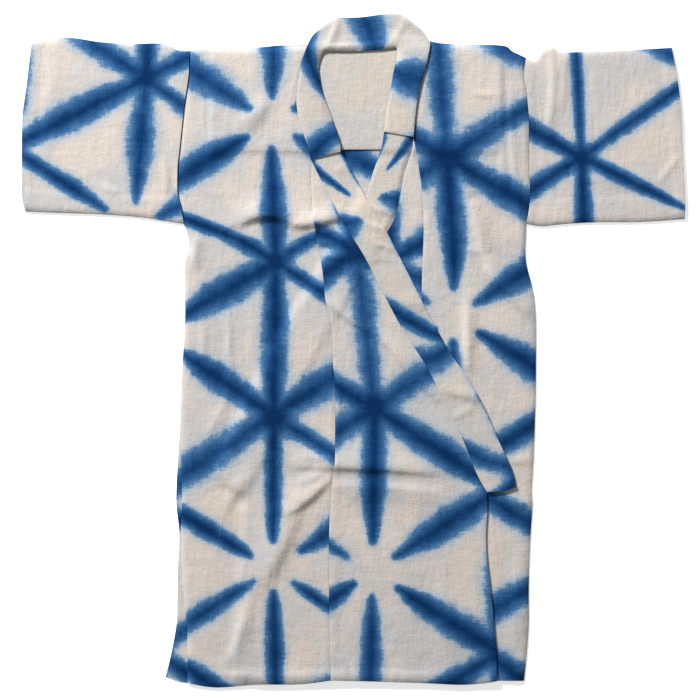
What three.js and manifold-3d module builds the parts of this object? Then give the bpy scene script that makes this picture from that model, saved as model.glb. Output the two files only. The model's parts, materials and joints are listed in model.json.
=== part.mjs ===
// A child's unlined cotton kimono coat, laid flat on its back with its fronts lapped.
// Millimetres. +Z is up off the surface, +Y runs from the hem to the collar, +X to the wearer's left.
// The origin is on the surface, under the middle of the outline.
//
// The body is one width of narrow cloth folded over the shoulders: a back and two fronts. A tapering
// overlap panel (okumi) is sewn to each front, a collar band to both, and an over-collar round the neck.
// Every piece is a cloth wall cut to its own outline. The walls lie on each other as the real layers do:
// all of them share one net of heights, and each layer rests on the highest one under it.

import * as THREE from "three";
import { mergeVertices } from "three/addons/utils/BufferGeometryUtils.js";
import Module from "manifold-3d";

const wasm = await Module();
wasm.setup();

// ---- Driving dimensions ----
const CLOTH = 1.0; // one layer of cotton
const BAND = 2.0; // the collar band, folded double
const GAP = 0.3; // between pieces that touch, at a seam or one on another
const SHOULDER_FOLD = CLOTH + GAP; // how far the back stays inside the cloth that folds over it
const DRAPE_SLOPE = 0.12; // how steeply a layer comes down from the edge of one beneath it
const COVER_END = 260; // above this height the two halves of the collar only meet, end to end
const SKY = 60; // above every layer

// The net of heights: a coarse step over the body, a finer one round the neck. It starts off the round
// numbers of the outlines, to keep its lines clear of their points.
const NET = {
  x: { from: -355.37, to: 356, coarse: 22.3, fine: 12.4, fineFrom: -76, fineTo: 100 },
  y: { from: -361.21, to: 366, coarse: 23.2, fine: 11.6, fineFrom: 195, fineTo: 366 },
};

const COTTON = { color: 0xded4cb, roughness: 0.95, metalness: 0 };
const COLLAR_COTTON = { color: 0xe0d6c8, roughness: 0.95, metalness: 0 };
const LINING_COTTON = { color: 0xe4dccf, roughness: 0.97, metalness: 0 };

// ---- Section tables ----
const table = (columns, rows) =>
  rows.map((row) => Object.fromEntries(columns.map((name, i) => [name, row[i]])));

// Across the body, from the shoulder to the hem: the sides of the back and of the fronts.
const BODY = table(["y", "backRight", "frontRight", "left"], [
  [289, -173, -173, 179],
  [268, -176, -176, 182],
  [245, -179, -179, 184],
  [216, -182, -182, 184.5],
  [192, -184.5, -184.5, 184.5],
  [167, -184.5, -184.5, 185.5],
  [151, -181, -181, 184.5],
  [133, -178, -178, 181.5],
  [121, -174, -174, 181],
  [109, -173, -173, 180.5],
  [91, -177, -177, 181.5],
  [60, -177, -177, 189],
  [29, -177, -177, 191.5],
  [-31, -180.5, -180.5, 191.5],
  [-74, -182, -181.5, 190.5],
  [-116, -184.5, -181, 189],
  [-148, -186, -180, 187],
  [-162, -186, -180, 188],
  [-193, -183, -181, 186],
  [-228, -184.5, -180, 184.5],
  [-257, -185, -178.5, 184],
  [-288, -186, -175, 184],
  [-323, -192.5, -174, 181.5],
]);
const UNDERARM = 133; // the sleeve seams end here

// The seam between each front and its overlap panel.
const OKUMI_SEAM = table(["y", "right", "left"], [
  [172, -44.5, 71.5],
  [142, -42.5, 73.5],
  [119, -38.5, 73.5],
  [80, -32, 72],
  [53, -29.5, 71.5],
  [29, -23.5, 71.5],
  [-10, -22, 72],
  [-36, -19.5, 72.5],
  [-115, -19.5, 74],
  [-136, -22.5, 74],
  [-189, -25.5, 74.5],
  [-255, -25.5, 75.5],
]);

// Shoulder folds, from the armhole to the collar on the right, from the collar to the armhole on the left.
const SHOULDER_RIGHT = table(["x", "y"], [
  [-172, 314.5], [-163, 317], [-154, 319], [-142, 319], [-104, 318], [-77, 320], [-48, 320.5],
]);
const SHOULDER_LEFT = table(["x", "y"], [
  [79.5, 325], [95, 322.5], [127, 321.5], [158, 320], [167, 314], [181, 307.5],
]);

// Hems, from the right side to the left.
const FRONT_HEM = table(["x", "y"], [[-174, -349], [-144, -353.5], [-100, -350.5], [-56, -350]]);
const OKUMI_HEM = table(["x", "y"], [[20, -347], [78, -349], [112, -350.5], [137, -349]]);
const BACK_HEM = table(["x", "y"], [
  [-197.5, -342.5], [-174, -349], [-119, -348], [-56, -346.5], [28, -345], [179, -346.5],
]);
const OKUMI_SEAM_HEM = { right: [-24.5, -346], left: [76, -346.5] };

// Front edges of the overlap panels, from the end of the collar to the hem.
const EDGE_RIGHT = table(["x", "y"], [
  [140, -170], [139, -193], [140, -216], [144, -250], [147, -280], [150, -317], [150.5, -346.5],
]);
const EDGE_LEFT = table(["x", "y"], [[-114, -199], [-118, -252], [-121, -304], [-123.5, -343.5]]);

// Across the collar, from the over-collar's end to the tip: the seam edge and the folded edge.
const COLLAR_RIGHT = table(["seamX", "seamY", "foldX", "foldY"], [
  [-44.5, 200, -13.5, 209],
  [-34, 179, -0.5, 186],
  [-21, 154.5, 13, 160.5],
  [-9, 131, 24, 142],
  [10.5, 100.5, 40, 115],
  [30, 62.5, 56, 83.5],
  [52, 21.5, 79, 38],
  [77.5, -18, 102, -3],
  [91, -45, 120, -29],
  [104.5, -70.5, 137, -59],
  [117.5, -100, 151.5, -92.5],
  [129.5, -129.5, 165.5, -123.5],
  [140, -148.5, 170.5, -143],
]);
const COLLAR_LEFT = table(["seamX", "seamY", "foldX", "foldY"], [
  [63, 224, 32, 229.5],
  [61, 209.5, 30, 216],
  [55, 192, 26, 203],
  [51.5, 179, 21, 188.5],
  [49, 164.5, 14, 166],
  [41.5, 135, 6, 146],
  [9, 84.5, -21.5, 100.5],
  [-43.5, -5.5, -73, 13.5],
  [-90, -98, -119, -79],
  [-113, -147.5, -143.5, -129.5],
]);

// Across the over-collar, from its right end round the back of the neck to its left end.
const OVER_COLLAR = table(["outX", "outY", "inX", "inY"], [
  [-44.5, 200, -13.5, 209],
  [-48, 214, -14.5, 218],
  [-56, 238, -20.5, 238],
  [-59.5, 256, -26, 253],
  [-59.5, 272, -32, 270],
  [-57.5, 286, -35, 284],
  [-54.5, 303, -36.5, 298],
  [-48, 321, -33.5, 309],
  [-42.5, 331, -30, 313.5],
  [-31.5, 340.5, -24, 314],
  [-18.5, 349, -15, 314],
  [-4.5, 349.5, -4, 314],
  [9, 350, 8, 314.5],
  [32, 353, 27, 315.5],
  [48, 353.5, 38, 317],
  [60, 346, 44.5, 317.5],
  [72, 336, 46, 312],
  [79.5, 325, 45, 306],
  [80, 318, 44, 301],
  [77, 303, 42, 293],
  [73, 288, 40.5, 284],
  [68, 267.5, 38, 270],
  [65, 247.5, 34, 248],
  [63, 224, 32, 229.5],
]);
const CENTRE_BACK = 12; // the row of OVER_COLLAR where the two halves of the collar are joined

// The neckline of the back, under the collar.
const NECK_SEAM = table(["x", "y"], [[-30, 322], [-4, 322], [8, 323], [28, 325.5], [50, 327]]);

// The yoke lining inside the back, from its lower right corner round.
const YOKE = table(["x", "y"], [
  [-148, 209], [-98, 210.5], [28, 211], [91, 210], [151, 208.5], [153, 273], [151.5, 312], [127, 316],
  [82, 318], [8, 317], [-48, 315.5], [-94, 314.5], [-148, 313],
]);

// Sleeves: the folded top and the sewn bottom from the armhole out, and the cuff from the top down.
const SLEEVE_RIGHT = {
  top: table(["x", "y"], [
    [-183, 315], [-190, 319], [-205, 322.5], [-234, 322], [-266, 324], [-300, 328.5], [-337.5, 325],
  ]),
  cuff: table(["x", "y"], [[-343, 279], [-347.5, 244], [-348, 195], [-348, 163], [-344.5, 146]]),
  bottom: table(["x", "y"], [[-308, 144.5], [-266, 143], [-224, 140], [-198, 136]]),
};
const SLEEVE_LEFT = {
  top: table(["x", "y"], [
    [191, 305], [197, 312.5], [203, 317], [210, 318], [219, 313.5], [254, 314], [290, 315.5], [334, 318],
  ]),
  cuff: table(["x", "y"], [[340.5, 281], [344, 250], [345, 221], [346.5, 189], [348, 157], [347.5, 138]]),
  bottom: table(["x", "y"], [[301, 135], [248, 134.5], [219, 132.5], [197, 130.5]]),
};

// The largest folds: soft ridges along a straight run, each on the layer it is raised in.
const FOLDS = table(["layer", "x1", "y1", "x2", "y2", "halfWidth", "height"], [
  ["over", -128, 138, -90, 149, 24, 3.6], // slack over the waist, right front
  ["over", -90, 149, -58, 135, 24, 3.6], // the same, towards the overlap seam
  ["over", -58, 135, -14, 136, 22, 3.2], // the same, up to the collar
  ["over", -88, 266, -118, 234, 20, 2.2], // chest, towards the right armhole
  ["over", -66, -124, 96, -126, 24, 2.4], // across the skirt
  ["over", -18, -134, -56, -160, 22, 2.8], // from it down over the overlap seam
  ["over", -56, -160, -107, -249, 26, 2.8], // on across the right front
  ["over", -107, -249, -136, -334, 24, 2.4], // on to the right hem
  ["over", 92, -240, 104, -346, 24, 1.8], // overlap panel
  ["over", -164, 122, -166, 84, 20, 2.4], // tuck under the right arm
  ["under", 95, 232, 124, 152, 22, 3.0], // left chest, beside the collar
  ["under", 124, 152, 140, 104, 22, 2.6], // on past the waist
  ["under", 140, 104, 190, 40, 24, 2.6], // from there to the left side
  ["under", 118, 54, 118, -24, 20, 2.0], // beside the lapped collar
  ["under", 172, -200, 168, -330, 22, 1.8], // left side, near the hem
  ["sleeveRight", -200, 205, -202, 150, 20, 2.2], // over the right underarm
  ["sleeveRight", -316, 306, -330, 200, 22, 1.4], // near the right cuff
  ["sleeveLeft", 212, 312, 206, 226, 22, 2.4], // down from the left shoulder
  ["sleeveLeft", 240, 180, 320, 168, 22, 1.4], // above the left sleeve's allowance
]);

// ---- Outlines ----
const edge = (rows, xName = "x", yName = "y") =>
  rows.map((row) => new THREE.Vector2(row[xName], row[yName]));
const point = ([x, y]) => new THREE.Vector2(x, y);
const reversed = (points) => [...points].reverse();
const lowered = (points, by) => points.map((p) => new THREE.Vector2(p.x, p.y - by));

// Joins edges into one closed outline that runs anticlockwise, with no point twice.
function outline(...edges) {
  const points = edges.flat().filter((p, i, all) => p.distanceTo(all[(i + 1) % all.length]) > 0.5);
  return THREE.ShapeUtils.isClockWise(points) ? reversed(points) : points;
}

// Moves an anticlockwise outline inwards, each side by the same distance.
function inset(points, distance) {
  return points.map((p, i) => {
    const before = points[(i + points.length - 1) % points.length];
    const after = points[(i + 1) % points.length];
    const a = new THREE.Vector2(before.y - p.y, p.x - before.x).normalize();
    const b = new THREE.Vector2(p.y - after.y, after.x - p.x).normalize();
    const along = a.clone().add(b).divideScalar(1 + Math.max(a.dot(b), -0.5));
    return p.clone().addScaledVector(along, distance);
  });
}

const sewn = (...edges) => inset(outline(...edges), GAP / 2);

const armholeRows = BODY.filter((row) => row.y >= UNDERARM);
const skirtRows = BODY.filter((row) => row.y < UNDERARM);
const armholeRight = [edge(SHOULDER_RIGHT)[0], ...edge(armholeRows, "frontRight")];
const armholeLeft = [edge(SHOULDER_LEFT).at(-1), ...edge(armholeRows, "left")];
const sideRight = edge(skirtRows, "frontRight");
const sideLeft = edge(skirtRows, "left");
const backSideRight = edge(skirtRows, "backRight");
const seamRight = [...edge(OKUMI_SEAM, "right"), point(OKUMI_SEAM_HEM.right)];
const seamLeft = [...edge(OKUMI_SEAM, "left"), point(OKUMI_SEAM_HEM.left)];
const collarSeamRight = edge(COLLAR_RIGHT, "seamX", "seamY");
const collarSeamLeft = edge(COLLAR_LEFT, "seamX", "seamY");
const overOuter = edge(OVER_COLLAR, "outX", "outY");
const overInner = edge(OVER_COLLAR, "inX", "inY");
const neckRight = overOuter.slice(0, 8);
const neckLeft = overOuter.slice(17);

const backOutline = sewn(
  lowered(edge(SHOULDER_RIGHT), SHOULDER_FOLD), edge(NECK_SEAM), lowered(edge(SHOULDER_LEFT), SHOULDER_FOLD),
  armholeLeft.slice(1), sideLeft, reversed(edge(BACK_HEM)), reversed(backSideRight),
  reversed(armholeRight.slice(1)),
);
const yokeOutline = outline(edge(YOKE));
const frontRightOutline = sewn(
  neckRight, reversed(edge(SHOULDER_RIGHT)), armholeRight, sideRight, edge(FRONT_HEM), reversed(seamRight),
);
const frontLeftOutline = sewn(
  edge(SHOULDER_LEFT), armholeLeft, sideLeft, edge(BACK_HEM).slice(-1), reversed(seamLeft),
  reversed(neckLeft),
);
const okumiRightOutline = sewn(
  seamRight, edge(OKUMI_HEM), reversed(edge(EDGE_RIGHT)), reversed(collarSeamRight),
);
const okumiLeftOutline = sewn(seamLeft, reversed(edge(EDGE_LEFT)), reversed(collarSeamLeft));
const collarRightOutline = sewn(
  reversed(overInner.slice(0, CENTRE_BACK + 1)), edge(COLLAR_RIGHT, "foldX", "foldY"),
  reversed(collarSeamRight), overOuter.slice(0, CENTRE_BACK + 1),
);
const collarLeftOutline = sewn(
  overInner.slice(CENTRE_BACK), edge(COLLAR_LEFT, "foldX", "foldY"),
  reversed(collarSeamLeft), reversed(overOuter.slice(CENTRE_BACK)),
);
const overCollarOutline = sewn(overOuter, reversed(overInner));

// ---- The net of heights ----
// Lines of the net: coarse steps, with fine ones across the given stretch.
function netLines({ from, to, coarse, fine, fineFrom, fineTo }) {
  const lines = [from];
  while (lines.at(-1) < to) {
    const at = lines.at(-1);
    lines.push(at + (at >= fineFrom && at < fineTo ? fine : coarse));
  }
  return lines;
}

const XS = netLines(NET.x);
const YS = netLines(NET.y);
const knots = YS.flatMap((y, j) => XS.map((x, i) => ({ x, y, i, j })));
const knotAt = (i, j) => j * XS.length + i;

function neighbours({ i, j }) {
  const found = [];
  for (let dj = -1; dj <= 1; dj += 1) {
    for (let di = -1; di <= 1; di += 1) {
      const inside = i + di >= 0 && i + di < XS.length && j + dj >= 0 && j + dj < YS.length;
      if (inside && (di || dj)) found.push(knotAt(i + di, j + dj));
    }
  }
  return found;
}

const links = knots.map((knot) =>
  neighbours(knot).map((to) => ({ to, length: Math.hypot(knots[to].x - knot.x, knots[to].y - knot.y) })),
);
const reach = links.map((list) => Math.max(...list.map((link) => link.length)));

function distanceToRun(p, a, b) {
  const run = Math.hypot(b.x - a.x, b.y - a.y);
  const along = ((p.x - a.x) * (b.x - a.x) + (p.y - a.y) * (b.y - a.y)) / run ** 2;
  const t = THREE.MathUtils.clamp(along, 0, 1);
  return Math.hypot(p.x - a.x - t * (b.x - a.x), p.y - a.y - t * (b.y - a.y));
}

function isInside(p, points) {
  return points.reduce((inside, a, i) => {
    const b = points[(i + 1) % points.length];
    const crosses = a.y > p.y !== b.y > p.y && p.x < a.x + ((p.y - a.y) / (b.y - a.y)) * (b.x - a.x);
    return crosses ? !inside : inside;
  }, false);
}

// A knot is covered by an outline that it lies in, or that reaches into a cell beside it.
const covered = (points) =>
  knots.map((p, k) => isInside(p, points) || points.some(
    (a, i) => distanceToRun(p, a, points[(i + 1) % points.length]) < reach[k],
  ));

// Lays a sheet on heights: it comes down from each raised place no more steeply than DRAPE_SLOPE.
function draped(heights) {
  const sheet = [...heights];
  for (let changed = true; changed; ) {
    changed = false;
    links.forEach((list, k) => {
      const held = Math.max(...list.map((link) => sheet[link.to] - DRAPE_SLOPE * link.length));
      if (held > sheet[k] + 1e-6) {
        sheet[k] = held;
        changed = true;
      }
    });
  }
  return sheet;
}

function foldHeight(p, layer) {
  return FOLDS.filter((fold) => fold.layer === layer).reduce((most, fold) => {
    const away = distanceToRun(p, { x: fold.x1, y: fold.y1 }, { x: fold.x2, y: fold.y2 }) / fold.halfWidth;
    const rise = away < 1.6 ? fold.height * Math.cos((Math.PI / 2) * Math.min(away / 1.6, 1)) ** 2 : 0;
    return Math.max(most, rise);
  }, 0);
}

const layerHeights = (under, layer) => draped(under).map((z, k) => z + foldHeight(knots[k], layer));

// Marks the knots that a piece covers as taken up to its top.
const raisedBy = (heights, points, tops) => {
  const under = covered(points);
  return heights.map((z, k) => (under[k] ? Math.max(z, tops[k] + GAP) : z));
};
const above = (heights, thickness) => heights.map((z) => z + thickness);
const flatOn = (z) => knots.map(() => z);

// ---- Solids ----
function toManifold(geometry) {
  geometry.deleteAttribute("normal");
  geometry.deleteAttribute("uv");
  const merged = mergeVertices(geometry, 1e-5);
  return new wasm.Manifold(new wasm.Mesh({
    numProp: 3,
    vertProperties: new Float32Array(merged.attributes.position.array),
    triVerts: new Uint32Array(merged.index.array),
  }));
}

function toGeometry(solid) {
  const { vertProperties, triVerts } = solid.getMesh();
  const geometry = new THREE.BufferGeometry();
  geometry.setAttribute("position", new THREE.BufferAttribute(vertProperties, 3));
  geometry.setIndex(new THREE.BufferAttribute(triVerts, 1));
  geometry.computeVertexNormals();
  return geometry;
}

function prism(points, bottom, top) {
  const geometry = new THREE.ExtrudeGeometry(new THREE.Shape(points), {
    depth: top - bottom,
    bevelEnabled: false,
  });
  return toManifold(geometry.translate(0, 0, bottom));
}

// The whole net as one closed slab between two sets of heights.
function slab(bottoms, tops) {
  const positions = [bottoms, tops].flatMap((zs) => knots.flatMap((knot, k) => [knot.x, knot.y, zs[k]]));
  const up = knots.length;
  const faces = [];
  const quad = (a, b, c, d) => faces.push(a, b, c, a, c, d);
  for (let j = 0; j + 1 < YS.length; j += 1) {
    for (let i = 0; i + 1 < XS.length; i += 1) {
      const [a, b, c, d] = [knotAt(i, j), knotAt(i + 1, j), knotAt(i + 1, j + 1), knotAt(i, j + 1)];
      quad(up + a, up + b, up + c, up + d);
      faces.push(a, c, b, a, d, c);
    }
  }
  const side = (a, b) => quad(a, b, up + b, up + a);
  for (let i = 0; i + 1 < XS.length; i += 1) {
    side(knotAt(i, 0), knotAt(i + 1, 0));
    side(knotAt(i + 1, YS.length - 1), knotAt(i, YS.length - 1));
  }
  for (let j = 0; j + 1 < YS.length; j += 1) {
    side(knotAt(XS.length - 1, j), knotAt(XS.length - 1, j + 1));
    side(knotAt(0, j + 1), knotAt(0, j));
  }
  const geometry = new THREE.BufferGeometry();
  geometry.setAttribute("position", new THREE.Float32BufferAttribute(positions, 3));
  geometry.setIndex(faces);
  return toManifold(geometry);
}

const cut = (bottoms, tops, points) => slab(bottoms, tops).intersect(prism(points, -1, SKY));
const wall = (heights, points, thickness = CLOTH) => cut(heights, above(heights, thickness), points);

// The turned cloth along a folded or sewn edge, from the surface up to the top of the layer over it.
function turnedEdge(run, heights, points) {
  const centre = points.reduce((sum, p) => sum.add(p), new THREE.Vector2()).divideScalar(points.length);
  const inwards = run.map((p, i) => {
    const a = run[Math.max(i - 1, 0)];
    const b = run[Math.min(i + 1, run.length - 1)];
    const side = new THREE.Vector2(a.y - b.y, b.x - a.x).normalize();
    const faces = Math.sign(side.dot(centre.clone().sub(p))) || 1;
    return p.clone().addScaledVector(side, faces * (CLOTH + GAP / 2));
  });
  const strip = outline(run, reversed(inwards));
  return cut(flatOn(0), above(heights, CLOTH), strip).intersect(prism(points, -1, SKY));
}

// ---- The layers, from the surface up ----
const pieces = {};

pieces.back = prism(backOutline, 0, CLOTH);
let taken = raisedBy(flatOn(0), backOutline, flatOn(CLOTH));

pieces.yoke_lining = prism(yokeOutline, CLOTH + GAP, 2 * CLOTH + GAP);
const takenUnderSleeves = taken;
taken = raisedBy(taken, yokeOutline, flatOn(2 * CLOTH + GAP));

const under = layerHeights(taken, "under");
const shoulderLeft = edge(SHOULDER_LEFT);
pieces.front_left = wall(under, frontLeftOutline).add(turnedEdge(shoulderLeft, under, frontLeftOutline));
pieces.okumi_left = wall(under, okumiLeftOutline);
pieces.collar_left = wall(under, collarLeftOutline, BAND);
taken = raisedBy(taken, frontLeftOutline, above(under, CLOTH));
taken = raisedBy(taken, okumiLeftOutline, above(under, CLOTH));
const belowNeck = collarLeftOutline.filter((p) => p.y < COVER_END);
const takenAtNeck = raisedBy(taken, collarLeftOutline, above(under, BAND));
taken = raisedBy(taken, belowNeck, above(under, BAND));

const over = layerHeights(taken, "over");
const shoulderRight = edge(SHOULDER_RIGHT);
pieces.front_right = wall(over, frontRightOutline).add(turnedEdge(shoulderRight, over, frontRightOutline));
pieces.okumi_right = wall(over, okumiRightOutline);
pieces.collar_right = wall(over, collarRightOutline, BAND);

const collarTops = raisedBy(takenAtNeck, collarRightOutline, above(over, BAND));
pieces.over_collar = wall(draped(collarTops), overCollarOutline);

// A sleeve is a flat tube: a layer on the surface and one on it, joined by its folded top and sewn bottom.
function sleeve(sections, armhole, layer) {
  const top = edge(sections.top);
  const cuff = edge(sections.cuff);
  const bottom = [cuff.at(-1), ...edge(sections.bottom), armhole.at(-1)];
  const points = sewn(top, cuff, bottom, reversed(armhole));
  const low = wall(flatOn(0), points);
  const heights = layerHeights(raisedBy(takenUnderSleeves, points, flatOn(CLOTH)), layer);
  return low
    .add(wall(heights, points))
    .add(turnedEdge(top, heights, points))
    .add(turnedEdge(bottom, heights, points));
}

pieces.sleeve_right = sleeve(SLEEVE_RIGHT, armholeRight, "sleeveRight");
pieces.sleeve_left = sleeve(SLEEVE_LEFT, armholeLeft, "sleeveLeft");

// ---- The garment ----
const LOOKS = {
  yoke_lining: LINING_COTTON,
  collar_right: COLLAR_COTTON,
  collar_left: COLLAR_COTTON,
  over_collar: COLLAR_COTTON,
};

const kimono = new THREE.Group();
for (const [name, solid] of Object.entries(pieces)) {
  const mesh = new THREE.Mesh(toGeometry(solid), new THREE.MeshStandardMaterial(LOOKS[name] ?? COTTON));
  mesh.name = name;
  kimono.add(mesh);
}

export default kimono;
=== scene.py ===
"""A child's unlined cotton kimono coat in indigo snow-flower shibori, laid flat with its fronts lapped.

Every panel is a thin shell laid at the height of its solid in the frame. All shells share one net of
heights, so a layer rests on what lies under it, and the largest folds are those of the solids. Lengths
are in millimetres until a mesh is made. +X is the wearer's left, +Y is towards the collar.
"""

import json
import math

import bpy
import numpy as np
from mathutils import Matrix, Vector


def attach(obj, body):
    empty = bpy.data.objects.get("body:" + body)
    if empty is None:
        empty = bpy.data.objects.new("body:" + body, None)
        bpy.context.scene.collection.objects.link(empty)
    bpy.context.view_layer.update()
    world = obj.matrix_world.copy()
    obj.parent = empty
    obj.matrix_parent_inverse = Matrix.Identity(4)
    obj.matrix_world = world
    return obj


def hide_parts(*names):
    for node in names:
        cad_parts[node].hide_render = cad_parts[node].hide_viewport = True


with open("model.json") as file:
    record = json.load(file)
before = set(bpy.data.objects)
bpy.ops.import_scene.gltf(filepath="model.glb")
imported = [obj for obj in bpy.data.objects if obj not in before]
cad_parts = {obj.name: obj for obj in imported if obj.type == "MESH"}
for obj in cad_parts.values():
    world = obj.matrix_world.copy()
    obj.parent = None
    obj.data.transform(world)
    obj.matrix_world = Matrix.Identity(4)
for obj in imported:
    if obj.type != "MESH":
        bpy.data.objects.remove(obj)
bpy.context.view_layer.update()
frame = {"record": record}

MM = 0.001

# ---- Driving dimensions ----
CLOTH = 1.0  # room for one layer of cotton in the solids
BAND = 2.0  # room for the collar band
GAP = 0.3  # between layers
SHELL = 0.6  # the cotton as it is drawn
BAND_SHELL = 1.6  # the folded band as it is drawn
STEP = 2.6  # between points of a panel
FINE_STEP = 1.6  # the same on the narrow over-collar
HALF_HIDDEN_STEP = 3.6  # on a panel that is half hidden
LINING_STEP = 4.0  # on the plain lining
COARSE_STEP = 6.0  # on a panel that is mostly hidden
EDGE_STEP = 0.45  # from a panel's rim to its first row of points
RIM_DROP = 0.35  # how far a panel dips into its seams
RIM_WIDTH = 1.4  # and how far from the seam that begins
SEAM_WIDTH = 2.6  # within this the collar band comes down to its seam
ROLL = 2.2  # over how far a panel rolls down along a fold
ROLL_LOW = 2 * SHELL - 0.2  # the height that it rolls down to
ROLL_START = 0.3  # how far into the roll the panel's edge is
NECK_ROLL = 5.0  # over how far the collar rolls down into the neck
NECK_LOW = 2.5  # the height that it rolls down to
CLEAR = 0.1  # from a panel to what it lies on, where it is squeezed
THINNEST = 0.3  # the least thickness of a panel there
REAR_CLEAR = 0.02  # from a sleeve's back to the surface
TUCK = 0.8 * SHELL  # how far a sleeve's inside stays from its top and bottom edges
TUCK_FROM = 60  # where that begins, from the sleeve's middle
DRAPE_SLOPE = 0.3  # how steeply a layer comes down from the edge of one beneath it
DRAPE_REACH = 18  # how many knots of the net away from that edge it may still be held up
UNEVEN = 0.25  # how far the unevenness of worn cloth lifts it and moves it either way
UNEVEN_OVER = 0.3  # the same for the right front, which lies on the others
RUMPLES = ((95, 0.5), (52, 0.42), (31, 0.3), (19, 0.18), (12, 0.1))  # lengths and heights of its waves
WAVES = 5  # of each length, in all directions
NECK_LEVEL = 260  # above this the left collar lifts the over-collar alone
HEM_EDGE = 0.5  # how soft the inner edge of a hem is
BOW_PARTS = 12  # straight parts in a fold's run


def table(columns, rows):
    """Rows as dictionaries, keyed by the names of their columns."""
    return [dict(zip(columns.split(), row)) for row in rows]


# ---- Section tables, as in the solids ----
BODY = table("y back_right front_right left", [
    (289, -173, -173, 179),
    (268, -176, -176, 182),
    (245, -179, -179, 184),
    (216, -182, -182, 184.5),
    (192, -184.5, -184.5, 184.5),
    (167, -184.5, -184.5, 185.5),
    (151, -181, -181, 184.5),
    (133, -178, -178, 181.5),
    (121, -174, -174, 181),
    (109, -173, -173, 180.5),
    (91, -177, -177, 181.5),
    (60, -177, -177, 189),
    (29, -177, -177, 191.5),
    (-31, -180.5, -180.5, 191.5),
    (-74, -182, -181.5, 190.5),
    (-116, -184.5, -181, 189),
    (-148, -186, -180, 187),
    (-162, -186, -180, 188),
    (-193, -183, -181, 186),
    (-228, -184.5, -180, 184.5),
    (-257, -185, -178.5, 184),
    (-288, -186, -175, 184),
    (-323, -192.5, -174, 181.5),
])
UNDERARM = 133
OKUMI_SEAM = table("y right left", [
    (172, -44.5, 71.5),
    (142, -42.5, 73.5),
    (119, -38.5, 73.5),
    (80, -32, 72),
    (53, -29.5, 71.5),
    (29, -23.5, 71.5),
    (-10, -22, 72),
    (-36, -19.5, 72.5),
    (-115, -19.5, 74),
    (-136, -22.5, 74),
    (-189, -25.5, 74.5),
    (-255, -25.5, 75.5),
])
SHOULDER_RIGHT = [(-172, 314.5), (-163, 317), (-154, 319), (-142, 319), (-104, 318), (-77, 320), (-48, 320.5)]
SHOULDER_LEFT = [(79.5, 325), (95, 322.5), (127, 321.5), (158, 320), (167, 314), (181, 307.5)]
FRONT_HEM = [(-174, -349), (-144, -353.5), (-100, -350.5), (-56, -350), (-24.5, -346)]
OKUMI_HEM = [(-24.5, -346), (20, -347), (78, -349), (112, -350.5), (137, -349), (150.5, -346.5)]
BACK_HEM = [(-197.5, -342.5), (-174, -349), (-119, -348), (-56, -346.5), (28, -345), (179, -346.5)]
EDGE_RIGHT = [(140, -170), (139, -193), (140, -216), (144, -250), (147, -280), (150, -317), (150.5, -346.5)]
EDGE_LEFT = [(-114, -199), (-118, -252), (-121, -304), (-123.5, -343.5)]
SEAM_FOOT_LEFT = (76, -346.5)  # where the left okumi's seam meets the hem
COLLAR_RIGHT = table("seam_x seam_y fold_x fold_y", [
    (-44.5, 200, -13.5, 209),
    (-34, 179, -0.5, 186),
    (-21, 154.5, 13, 160.5),
    (-9, 131, 24, 142),
    (10.5, 100.5, 40, 115),
    (30, 62.5, 56, 83.5),
    (52, 21.5, 79, 38),
    (77.5, -18, 102, -3),
    (91, -45, 120, -29),
    (104.5, -70.5, 137, -59),
    (117.5, -100, 151.5, -92.5),
    (129.5, -129.5, 165.5, -123.5),
    (140, -148.5, 170.5, -143),
])
COLLAR_LEFT = table("seam_x seam_y fold_x fold_y", [
    (63, 224, 32, 229.5),
    (61, 209.5, 30, 216),
    (55, 192, 26, 203),
    (51.5, 179, 21, 188.5),
    (49, 164.5, 14, 166),
    (41.5, 135, 6, 146),
    (9, 84.5, -21.5, 100.5),
    (-43.5, -5.5, -73, 13.5),
    (-90, -98, -119, -79),
    (-113, -147.5, -143.5, -129.5),
])
OVER_COLLAR = table("out_x out_y in_x in_y", [
    (-44.5, 200, -13.5, 209),
    (-48, 214, -14.5, 218),
    (-56, 238, -20.5, 238),
    (-59.5, 256, -26, 253),
    (-59.5, 272, -32, 270),
    (-57.5, 286, -35, 284),
    (-54.5, 303, -36.5, 298),
    (-48, 321, -33.5, 309),
    (-42.5, 331, -30, 313.5),
    (-31.5, 340.5, -24, 314),
    (-18.5, 349, -15, 314),
    (-4.5, 349.5, -4, 314),
    (9, 350, 8, 314.5),
    (32, 353, 27, 315.5),
    (48, 353.5, 38, 317),
    (60, 346, 44.5, 317.5),
    (72, 336, 46, 312),
    (79.5, 325, 45, 306),
    (80, 318, 44, 301),
    (77, 303, 42, 293),
    (73, 288, 40.5, 284),
    (68, 267.5, 38, 270),
    (65, 247.5, 34, 248),
    (63, 224, 32, 229.5),
])
# Rows of the over-collar, counted from 0.
CENTRE_BACK = 12
NECK_FIRST, NECK_LAST = 2, 20  # between these it borders the open neck
FOLD_RIGHT, FOLD_LEFT = 7, 17  # at these it meets the shoulder folds
NECK_SEAM = [(-30, 322), (-4, 322), (8, 323), (28, 325.5), (50, 327)]
YOKE_TOP = [(-148, 313), (-94, 314.5), (-48, 315.5), (8, 317), (82, 318), (127, 316), (151.5, 312)]
YOKE_BOTTOM = [(-148, 209), (-98, 210.5), (28, 211), (91, 210), (151, 208.5)]
SLEEVE_RIGHT = {
    "top": [
        (-172, 314.5), (-183, 315), (-190, 319), (-205, 322.5),
        (-234, 322), (-266, 324), (-300, 328.5), (-337.5, 325),
    ],
    "cuff": [(-337.5, 325), (-343, 279), (-347.5, 244), (-348, 195), (-348, 163), (-344.5, 146)],
    "bottom": [(-178, 133), (-198, 136), (-224, 140), (-266, 143), (-308, 144.5), (-344.5, 146)],
}
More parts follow.
